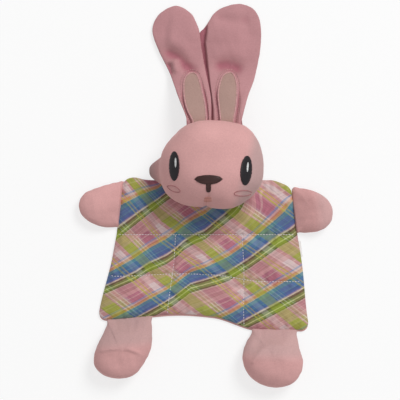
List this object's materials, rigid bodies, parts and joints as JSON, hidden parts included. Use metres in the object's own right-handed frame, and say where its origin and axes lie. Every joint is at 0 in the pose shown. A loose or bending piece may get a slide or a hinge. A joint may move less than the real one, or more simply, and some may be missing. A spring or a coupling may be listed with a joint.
{
  "type": "plush rabbit comfort blanket",
  "caption": "Small quilted comfort blanket with a stuffed rabbit head, long limp ears and stuffed arms and legs, lying on its back.",
  "frame": {"origin": "centre of the blanket's flat back face", "axes": "+Y from the hem towards the ears, +Z out of the face and the plaid front, +X to the toy's own left side"},
  "size_m": [0.2313, 0.3507, 0.0641],
  "materials": {
    "plaid_cotton": "printed woven cotton, matt",
    "pink_velour": "short-pile knitted velour, matt with a soft sheen",
    "ear_velour": "short-pile knitted velour, matt with a soft sheen",
    "patch_velour": "short-pile velour, matt",
    "wadding": "polyester fibre, matt",
    "black_thread": "satin-stitch embroidery thread",
    "brown_thread": "satin-stitch embroidery thread",
    "mauve_thread": "embroidery thread",
    "grey_thread": "satin-stitch embroidery thread",
    "pink_thread": "satin-stitch embroidery thread",
    "white_thread": "quilting thread, matt",
    "label_tape": "woven satin tape"
  },
  "bodies": {
    "blanket": {"blanket_front_panel": "plaid_cotton", "blanket_back_panel": "pink_velour", "blanket_wadding": "wadding", "quilting_thread": "white_thread", "side_label": "label_tape"},
    "neck": {"neck": "pink_velour"},
    "head": {"head_face_panel": "pink_velour", "head_back_panel": "pink_velour", "head_stuffing": "wadding", "nose_embroidery": "brown_thread", "mouth_embroidery": "mauve_thread", "cheek_stitching_right": "mauve_thread", "cheek_stitching_left": "mauve_thread", "eye_right": "black_thread", "eye_highlight_right": "grey_thread", "eye_left": "black_thread", "eye_highlight_left": "grey_thread"},
    "ear_right": {"ear_right_front_panel": "ear_velour", "ear_right_back_panel": "ear_velour", "ear_right_inner_patch": "patch_velour", "ear_right_satin_stitch": "pink_thread"},
    "ear_left": {"ear_left_front_panel": "ear_velour", "ear_left_back_panel": "ear_velour", "ear_left_inner_patch": "patch_velour", "ear_left_satin_stitch": "pink_thread"},
    "arm_right": {"arm_right_front_panel": "pink_velour", "arm_right_back_panel": "pink_velour", "arm_right_stuffing": "wadding"},
    "arm_left": {"arm_left_front_panel": "pink_velour", "arm_left_back_panel": "pink_velour", "arm_left_stuffing": "wadding"},
    "leg_right": {"leg_right_front_panel": "pink_velour", "leg_right_back_panel": "pink_velour", "leg_right_stuffing": "wadding"},
    "leg_left": {"leg_left_front_panel": "pink_velour", "leg_left_back_panel": "pink_velour", "leg_left_stuffing": "wadding"}
  },
  "joints": [
    {"name": "neck_nod", "type": "hinge", "parent": "blanket", "child": "neck", "pos_m": [0.004, 0.0526, 0.003], "axis": [1, 0, 0], "range_deg": [-70, 30]},
    {"name": "head_swivel", "type": "hinge", "parent": "neck", "child": "head", "pos_m": [0.004, 0.0565, 0.0063], "axis": [0, 0.4556, 0.8902], "range_deg": [-20, 20]},
    {"name": "ear_right_flop", "type": "hinge", "parent": "head", "child": "ear_right", "pos_m": [-0.005, 0.11725, 0.02965], "axis": [1, 0, 0], "range_deg": [-60, 90]},
    {"name": "ear_left_flop", "type": "hinge", "parent": "head", "child": "ear_left", "pos_m": [0.02, 0.11725, 0.02965], "axis": [1, 0, 0], "range_deg": [-60, 90]},
    {"name": "arm_right_swing", "type": "hinge", "parent": "blanket", "child": "arm_right", "pos_m": [-0.08215, 0.04366, 0.0016], "axis": [0.0997, 0.995, 0], "range_deg": [-100, 90]},
    {"name": "arm_left_swing", "type": "hinge", "parent": "blanket", "child": "arm_left", "pos_m": [0.0827, 0.03816, 0.0016], "axis": [0.0997, -0.995, 0], "range_deg": [-100, 90]},
    {"name": "leg_right_swing", "type": "hinge", "parent": "blanket", "child": "leg_right", "pos_m": [-0.071, -0.0654, 0.0016], "axis": [-1, 0, 0], "range_deg": [-100, 90]},
    {"name": "leg_left_swing", "type": "hinge", "parent": "blanket", "child": "leg_left", "pos_m": [0.061, -0.0734, 0.0016], "axis": [-1, 0, 0], "range_deg": [-100, 90]}
  ]
}
